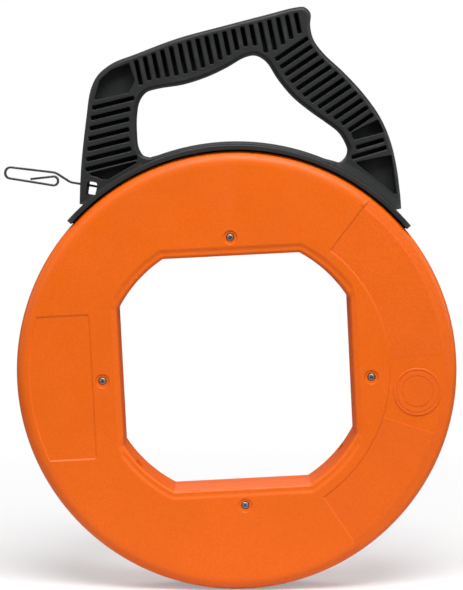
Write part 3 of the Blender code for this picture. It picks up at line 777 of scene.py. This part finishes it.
def panel_tools(plain, grained):
    """Shallow panels of the front: one blank on the left, a grained one on the right."""
    side_x, start, end = LEFT_PANEL
    curved = arc(LEFT_PANEL_OUT, start, end, 32)
    corners = [(side_x, curved[k][1], PANEL_CORNER) for k in (-1, 0)]
    left = rounded([(x, z, 0.0) for x, z in curved] + corners)
    inner, *ends = RIGHT_PANEL
    low, high = SMOOTH_SECTOR
    edge = PANEL_OUT + PANEL_EDGE + PANEL_PAST
    smooth = sector(inner, edge + PANEL_PAST, low, high)
    return [
        layers("left_panel", left, panel_levels(PANEL_DEPTH), plain),
        layers("right_panel", sector(inner, edge, *ends), panel_levels(PANEL_DEPTH), grained),
        run_out("run_out", *ends, grained),
        layers("smooth_panel", smooth, panel_levels(SMOOTH_DEPTH), plain),
    ]


def panel_levels(depth):
    """Levels of a shallow cutter into the front face, its floor first."""
    return mirrored([(CASE_HALF - depth, PANEL_EDGE), (CASE_HALF + depth, -PANEL_EDGE)], -1)


def run_out(name, start, end, finish):
    """Cutter that tilts a panel's floor outwards until it meets the rim's rounding."""
    high, floor = CASE_HALF + CUT_PAST, CASE_HALF - PANEL_DEPTH + RUN_LIFT
    foot, low = PANEL_OUT + LEDGE[0], floor - LEDGE[1]
    deep = low - (RUN_OUT - foot) * math.tan(math.radians(RUN_TILT))
    profile = [(PANEL_OUT, high), (PANEL_OUT, floor), (foot, low), (RUN_OUT, deep), (RUN_OUT, high)]
    return swept(name, mirrored_profile(profile), start + RUN_ENDS, end - RUN_ENDS, 48, finish)


def emblem(finish):
    """The round pad that stands in the right panel, with two plain rings round its middle."""
    distance, angle, radius = PAD
    x, z = polar(distance, angle)
    floor, top = CASE_HALF - SMOOTH_DEPTH - PAD_ROOT, CASE_HALF - PAD_SINK
    low = top - PAD_GROOVE
    outline = [(radius, floor), (radius, low), (radius - PAD_EDGE, top)]
    for outer, inner in PAD_RINGS:
        outline += [(outer + PAD_EASE, top), (outer, low), (inner, low), (inner - PAD_EASE, top)]
    outline.append((PAD_MIDDLE, top))
    return pin("emblem", outline, (x, 0, z), (0, -1, 0), 72, finish)


def shell(name, side, plain, grained):
    body = shell_blank(name, side, plain)
    root = CASE_HALF - WALL / 4
    levels = mirrored([(PARTING, 0), (root, 0)], side)
    tube = layers(name + "_wall", hole_outline(BORE, BORE_WALL), levels, plain)
    steps = [("UNION", tube)]
    for label, angle in SCREW_ANGLES.items():
        x, z = polar(SCREW_CIRCLE, angle)
        outline = [(BOSS_R, PARTING), (BOSS_R, root - 0.2)]
        boss = pin(f"{name}_boss_{label}", outline, (x, 0, z), (0, side, 0), 32, plain)
        steps.append(("UNION", boss))
    steps += [("DIFFERENCE", tool) for tool in bore_tools(name, side, plain)]
    for label, angle in SCREW_ANGLES.items():
        steps.append(("DIFFERENCE", screw_hole(f"{name}_hole_{label}", angle, side, plain)))
    if side < 0:
        steps += [("DIFFERENCE", tool) for tool in panel_tools(plain, grained)]
        steps.append(("UNION", emblem(grained)))
    else:
        steps += anchor_steps(root, plain)
    steps.append(("DIFFERENCE", snap_windows(side, plain)))
    return carved(body, steps)


def anchor_steps(root, finish):
    """The post for the tape's inner end, and the notch in the drum wall that lets it in."""
    x, z = polar(*ANCHOR)
    tip, shoulder = EYE_Y - TAPE_W / 2 - 0.2, EYE_Y + TAPE_W / 2 + GAP
    foot = POST_R + POST_FOOT
    outline = [(POST_R, tip), (POST_R, shoulder), (foot, shoulder), (foot, root - GAP)]
    post = pin("anchor_post", outline, (x, 0, z), (0, 1, 0), 32, finish)
    drilled = [(SCREW_R, 0.0), (SCREW_R, ANCHOR_HOLE)]
    hole = pin("anchor_hole", drilled, (x, 0, z), (0, 1, 0), 24, finish)
    out = heading(ANCHOR[1])
    shift = left_of(out) * (POST_R + GAP + TAPE_T / 2)
    side = left_of(out) * NOTCH_HALF
    near = out * (DRUM_R - DRUM_WALL - NOTCH_REACH) + shift
    far = out * (DRUM_R + NOTCH_REACH) + shift
    loop = [tuple(p) for p in (near - side, far - side, far + side, near + side)]
    notch = layers("tape_notch", loop, [(-1.0, 0), (EYE_Y + TAPE_W / 2 + 1.0, 0)], finish)
    return [("UNION", post), ("DIFFERENCE", hole), ("DIFFERENCE", notch)]


# ---------- screws, ring and tape ----------


def cross_recess(x, z, top, finish):
    """A cross-shaped driver recess in a head whose top is at y = top, facing the front."""
    plus = [(CROSS_HALF, CROSS_ARM), (CROSS_HALF, CROSS_HALF), (CROSS_ARM, CROSS_HALF)]
    loop = []
    for quarter in range(4):
        spin = Matrix.Rotation(math.radians(-90.0 * quarter + CROSS_TURN), 2)
        loop += [tuple(Vector((x, z)) + spin @ Vector(point)) for point in plus]
    return layers("cross", loop, [(top + CROSS_DEPTH, 0.22), (top - 0.3, -0.04)], finish)


def case_screw(label, angle, finish):
    x, z = polar(SCREW_CIRCLE, angle)
    seat = CASE_HALF - SEAT_DEPTH + HEAD_LIFT
    tip = seat - SCREW_LENGTH
    top = seat + SCREW_HEAD
    outline = [(0.25, tip), (SCREW_R, tip + SCREW_POINT)]
    rings, start, pitch, depth = THREAD
    for k in range(rings):
        y = tip + start + k * pitch
        outline += [(SCREW_R, y), (SCREW_R - depth, y + depth), (SCREW_R, y + 2 * depth)]
    outline += [(SCREW_R, seat), (SCREW_HEAD_R - 0.1, seat), (SCREW_HEAD_R, seat + 0.1)]
    for share, height in HEAD_DOME:
        outline.append((SCREW_HEAD_R * share, seat + SCREW_HEAD * height))
    body = pin(f"screw_{label}", outline, (x, 0, z), (0, -1, 0), 32, finish)
    return carved(body, [("DIFFERENCE", cross_recess(x, z, -top, finish))])


def tape_section():
    """The tape's cross-section as (across its width, through its thickness), edges rounded."""
    w, t = TAPE_W / 2, TAPE_T / 2
    corners = ((w, t), (-w, t), (-w, -t), (w, -t))
    return rounded([(*corner, TAPE_EASE) for corner in corners], 2)


def strip(name, path, finish):
    """The tape bent on edge along a path of (x, y, z) points in planes of constant y."""
    section = tape_section()
    points = []
    last = len(path) - 1
    for i, (x, y, z) in enumerate(path):
        here = Vector((x, z))
        back = here - Vector(path[i - 1][::2]) if i else Vector(path[1][::2]) - here
        ahead = Vector(path[i + 1][::2]) - here if i < last else back
        along = (back.normalized() + ahead.normalized()).normalized()
        side = left_of(along) / max(0.7, along.dot(ahead.normalized()))
        for w, t in section:
            point = here + side * t
            points.append((point.x, y + w, point.y))
    return solid(name, points, ring_faces(len(section), len(path)), finish=finish)


def lead_point(distance):
    run = heading(180.0 - LEAD_TILT)
    normal = Vector((run.y, -run.x))
    return normal * LEAD_LINE + run * distance


def lead_path():
    corners = [(*lead_point(0.0), 0.0), (*lead_point(LEAD_RUN), 9.0), *LEAD_LOOP]
    return [(x, 0.0, z) for x, z in rounded(corners, 14, closed=False)]


def coil_path():
    """All 30 m of the tape from its hooked inner end: rows side by side, layer on layer."""
    out = heading(ANCHOR[1])
    middle = out * ANCHOR[0]
    bend = POST_R + GAP + TAPE_T / 2
    first = ANCHOR[1] + 90.0
    eye = arc(bend, first + EYE_TURN, first, 24, tuple(middle))
    path = [(x, EYE_Y, z) for x, z in eye]
    start_r = DRUM_R + GAP + TAPE_T / 2
    entry = out * (DRUM_R - ENTRY) + left_of(out) * bend
    path.append((entry.x, EYE_Y, entry.y))
    rows = int((2 * COIL_HALF) / ROW_PITCH)
    reach = (rows - 1) * ROW_PITCH
    low = -reach / 2
    length, turn = 0.0, 0.0
    while length < TAPE_LENGTH:
        row = ((EYE_Y - low) / ROW_PITCH + turn) / (rows - 1)
        layer = int(row)
        part = row - layer
        y = low + reach * (part if layer % 2 == 0 else 1.0 - part)
        r = start_r + LAYER_PITCH * layer
        x, z = polar(r, ANCHOR[1] + COIL_START + 360.0 * turn)
        path.append((x, y, z))
        turn += 1.0 / COIL_STEPS
        length += 2 * math.pi * r / COIL_STEPS
    return path


def guide_ring(finish):
    profile = rounded_profile([
        (BAND_IN, -BAND_HALF, 0.4), (BAND_OUT, -BAND_HALF, 0.4), (BAND_OUT, -NECK_HALF, 0.0),
        (NECK_OUT, -NECK_HALF, 0.5), (NECK_OUT, NECK_HALF, 0.5), (BAND_OUT, NECK_HALF, 0.0),
        (BAND_OUT, BAND_HALF, 0.4), (BAND_IN, BAND_HALF, 0.4),
    ])
    body = turned("inner_ring", profile, finish=finish)
    tools = [tape_channel("ring_window", *RING_WINDOW, finish)]
    for k, angle in enumerate(RING_ANGLES):
        tools.append(ring_screw_hole(f"ring_hole_{k}", angle, RING_SCREWS[0], SHOE_OUT, finish))
    return carved(body, [("DIFFERENCE", merged("ring_cuts", tools))])


def tape_channel(name, low, high, finish):
    side = left_of(heading(180.0 - LEAD_TILT)) * (TAPE_T / 2 + CHANNEL)
    near, far = lead_point(low), lead_point(high)
    loop = [tuple(p) for p in (near - side, far - side, far + side, near + side)]
    half = TAPE_W / 2 + CHANNEL
    return layers(name, loop, [(-half, 0), (half, 0)], finish)


def ring_screw_hole(name, angle, low, high, finish):
    x, z = polar(1.0, angle)
    r = RING_SCREW_R + GAP
    return pin(name, [(r, low), (r, high)], (0, 0, 0), (x, 0, z), 20, finish)


# ---------- handle ----------


def slots_between(spec, ends, body, opening, outwards):
    """Slot loops across a limb, each stopped short of its outer and inner edge."""
    count, step, first, rise = spec
    along = heading(rise)
    slots = []
    for k in range(count):
        origin = Vector(first) - left_of(along) * step * k
        outer, inner = crossings(body, origin, along), crossings(opening, origin, along)
        if outwards:
            high = min(t for t in outer if t > -1.0) - ends[0]
            low = max(t for t in inner if t < high) + ends[1]
        else:
            low = max(t for t in outer if t < 1.0) + ends[0]
            high = min(t for t in inner if t > low) - ends[1]
        slots.append(slot_loop(origin, along, low, high))
    return slots


def bar_slots(body, opening):
    """The grip bar's slots; those past the bar's end stop above the arm's first slot."""
    count, step, first, rise = BAR_SLOTS
    along = heading(rise)
    across = left_of(heading(ARM_SLOTS[3]))
    stop = Vector(ARM_SLOTS[2]) + across * ARM_SLOTS[1] * BAR_STOP
    slots = []
    for k in range(count):
        origin = Vector((first[0] + step * k, first[1]))
        top = min(crossings(body, origin, along)) + BAR_ENDS[0]
        foot = (stop - origin).dot(across) / along.dot(across)
        below = [t for t in crossings(opening, origin, along) if t > top]
        if below and (origin.x < BAR_OPEN_X or below[0] - BAR_ENDS[1] < foot):
            foot = below[0] - BAR_ENDS[1]
        slots.append(slot_loop(origin, along, top, foot))
    return slots


def edge_levels(half, radius):
    """Levels of a plate whose two outer edges are rounded."""
    near = []
    for k in range(EDGE_STEPS + 1):
        c, s = polar(radius, 90.0 * k / EDGE_STEPS)
        near.append((half - radius + s, radius - c))
    return [(-y, inset) for y, inset in near[::-1]] + near


def flare_steps(outline, opening, finish):
    """The feet's flares down to the shoe, kept within the body and clear of the opening."""
    side, low, high = SHOE_HALF - FLARE_SIDE, SHOE_OUT - FLARE_FOOT[0], SHOE_OUT + FLARE_FOOT[1]
    inside = [(x + TRIM[0], z + TRIM[1]) for x, z in outline]
    near, far = TRIM_REACH
    steps = []
    for start, end, top in FLARES:
        profile = [
            (low, -side), (high, -side), (top, 1.0 - GRIP_HALF), (top, GRIP_HALF - 1.0),
            (high, side), (low, side),
        ]
        flare = swept("flare", profile, start, end, 28, finish)
        trim = layers("trim", inside, [(-near, TRIM_INSET), (near, TRIM_INSET)], finish)
        void = layers("void", opening, [(-far, -TRIM_INSET), (far, -TRIM_INSET)], finish)
        steps.append(("UNION", carved(flare, [("INTERSECT", trim), ("DIFFERENCE", void)])))
    return steps


def recess_steps(outline, opening, finish):
    """The slots and pockets in both faces."""
    loops = bar_slots(outline, opening)
    loops += slots_between(ARM_SLOTS, ARM_ENDS, outline, opening, True)
    loops += slots_between(POST_SLOTS, POST_ENDS, outline, opening, False)
    loops += slots_between(LOW_SLOTS, LOW_ENDS, outline, opening, True)
    pockets = [rounded(pocket, 3) for pocket in POCKETS]
    steps = []
    for face in (-1, 1):
        slots = mirrored(mouth_levels(WEB_HALF, GRIP_HALF, SLOT_MOUTH), face)
        deep = mirrored(mouth_levels(POCKET_FLOOR, GRIP_HALF, POCKET_MOUTH), face)
        tools = [layers("slot", loop, slots, finish) for loop in loops]
        steps.append(("DIFFERENCE", merged(f"slots_{face}", tools)))
        tools = [layers("pocket", loop, deep, finish) for loop in pockets]
        steps.append(("DIFFERENCE", merged(f"pockets_{face}", tools)))
    return steps


def handle(finish):
    line = [BODY_OUTLINE[0], *smooth_line(BODY_OUTLINE[1:-1], SPLINE_STEPS), BODY_OUTLINE[-1]]
    outline = line + arc(FOOT_R, angle_of(line[-1]) + FOOT_EASE, angle_of(line[0]) - FOOT_EASE, 48)
    edge = smooth_line(OPENING_OUTLINE, SPLINE_STEPS)
    opening = edge + arc(SILL_R, angle_of(edge[-1]) + SILL_EASE, angle_of(edge[0]) - SILL_EASE, 24)
    body = layers("grip", outline, edge_levels(GRIP_HALF, EDGE), finish)

    half = mouth_levels(0.0, GRIP_HALF, OPENING_ROUND)[2:]
    cut = [(-y, inset) for y, inset in half[::-1]] + half
    steps = [("DIFFERENCE", layers("opening", opening, cut, finish))]
    steps += flare_steps(outline, opening, finish)

    profile = rounded_profile([
        (SHOE_IN, -SHOE_HALF, 0.5), (SHOE_OUT, -SHOE_HALF, 0.8), (SHOE_OUT, SHOE_HALF, 0.8),
        (SHOE_IN, SHOE_HALF, 0.5), (SHOE_IN, NECK_HALF, 0.0), (NECK_OUT + GAP, NECK_HALF, 0.0),
        (NECK_OUT + GAP, -NECK_HALF, 0.0), (SHOE_IN, -NECK_HALF, 0.0),
    ])
    steps.append(("UNION", swept("shoe", profile, *SHOE_SPAN, 72, finish)))
    steps += recess_steps(outline, opening, finish)

    reach = 2 * SHOE_HALF
    window = layers("window", rounded(WINDOW), [(-reach, 0), (reach, 0)], finish)
    steps.append(("DIFFERENCE", window))
    steps.append(("DIFFERENCE", tape_channel("tape_channel", *HANDLE_WINDOW, finish)))
    low, high = RING_SCREWS[1:]
    holes = [ring_screw_hole(f"hole_{k}", a, low, high, finish) for k, a in enumerate(RING_ANGLES)]
    steps.append(("DIFFERENCE", merged("screw_holes", holes)))
    return carved(body, steps)


# ---------- stage ----------


def stage():
    """A wide pale floor just under the reel."""
    spokes = 48
    points = []
    for r in FLOOR_RINGS:
        points += [(*polar(r, 360.0 * k / spokes), 0.0) for k in range(spokes)]
    data = bpy.data.meshes.new("floor")
    data.from_pydata(points, [], ring_faces(spokes, len(FLOOR_RINGS))[:-1])
    data.materials.append(stage_material((0.93, 0.93, 0.93)))
    floor = bpy.data.objects.new("floor", data)
    floor.location = (AXIS.x, AXIS.y, CAD_LOW.z - FLOOR_GAP)
    bpy.context.scene.collection.objects.link(floor)


def softbox(name, target, distance, azimuth, elevation, width, height, power):
    """A rectangular soft light aimed at the target; its angles are as for the camera."""
    lamp = bpy.data.lights.new(name, "AREA")
    lamp.shape = "RECTANGLE"
    lamp.size = width
    lamp.size_y = height
    lamp.energy = power
    made = bpy.data.objects.new(name, lamp)
    back = direction(azimuth, elevation)
    made.location = target + back * distance
    made.rotation_mode = "QUATERNION"
    made.rotation_quaternion = (-back).to_track_quat("-Z", "Y")
    bpy.context.scene.collection.objects.link(made)


def direction(azimuth, elevation):
    a, e = math.radians(azimuth), math.radians(elevation)
    return Vector((math.sin(a) * math.cos(e), -math.cos(a) * math.cos(e), math.sin(e)))


def lights():
    for name, *placing in LIGHTS:
        softbox(name, AXIS + LIT, *placing)
    world = bpy.data.worlds.new("studio")
    world.use_nodes = True
    tree = world.node_tree
    seen = tree.nodes.new("ShaderNodeLightPath").outputs["Is Camera Ray"]
    strength = tree.nodes.new("ShaderNodeMapRange")
    strength.inputs["To Min"].default_value = AMBIENT
    strength.inputs["To Max"].default_value = 1.0
    tree.links.new(seen, strength.inputs["Value"])
    tree.nodes["Background"].inputs["Color"].default_value = (1.0, 1.0, 1.0, 1.0)
    tree.links.new(strength.outputs["Result"], tree.nodes["Background"].inputs["Strength"])
    bpy.context.scene.world = world


def camera():
    data = bpy.data.cameras.new("camera")
    data.sensor_width = 36.0
    data.lens = VIEW_LENS
    data.clip_start = 0.05
    data.clip_end = 60.0
    made = bpy.data.objects.new("camera", data)
    made.location = AXIS + direction(VIEW_AZIMUTH, VIEW_ELEVATION) * VIEW_DISTANCE
    made.rotation_mode = "QUATERNION"
    made.rotation_quaternion = (AXIS + AIM - made.location).to_track_quat("-Z", "Y")
    bpy.context.scene.collection.objects.link(made)
    bpy.context.scene.camera = made


# ---------- the scene ----------

ORANGE = moulded_plastic("case_plastic", (0.875, 0.14, 0.003), 0.42, 1.0, worn=0.04)
GRAINED = moulded_plastic("case_grained", (0.86, 0.134, 0.003), 0.5, 1.4, dots=1.0, worn=0.04)
BLACK = moulded_plastic("handle_plastic", (0.022, 0.023, 0.023), 0.44, 1.3)
RING_BLACK = moulded_plastic("ring_plastic", (0.03, 0.03, 0.031), 0.5, 1.0)
STEEL = metal("tape_steel", (0.17, 0.17, 0.175), 0.36, (60.0, 1800.0, 60.0), 0.5)
ZINC = metal("screw_zinc", (0.33, 0.335, 0.35), 0.38, (700.0, 700.0, 700.0), 0.35)

front = shell("front_case", -1, ORANGE, GRAINED)
rear = shell("rear_case", 1, ORANGE, GRAINED)
ready(front, "reel", ("front_shell",), True, flats=True)
ready(rear, "reel", ("rear_shell",), True, flats=True)
for label, angle in SCREW_ANGLES.items():
    ready(case_screw(label, angle, ZINC), "reel", (f"case_screw_{label}",), True)
ready(strip("wound_tape", coil_path(), STEEL), "reel", ("tape_coil",), True)
ready(handle(BLACK), "handle", ("handle",))
ready(guide_ring(RING_BLACK), "handle", ("guide_ring",))
ready(strip("tape_end", lead_path(), STEEL), "tape", ("tape_lead",))

for node, look in frame["nodes"].items():
    if "screw" in node or "washer" in node:
        look.data.materials.clear()
        look.data.materials.append(ZINC)

stage()
lights()
camera()
bpy.context.scene.view_settings.view_transform = "Standard"
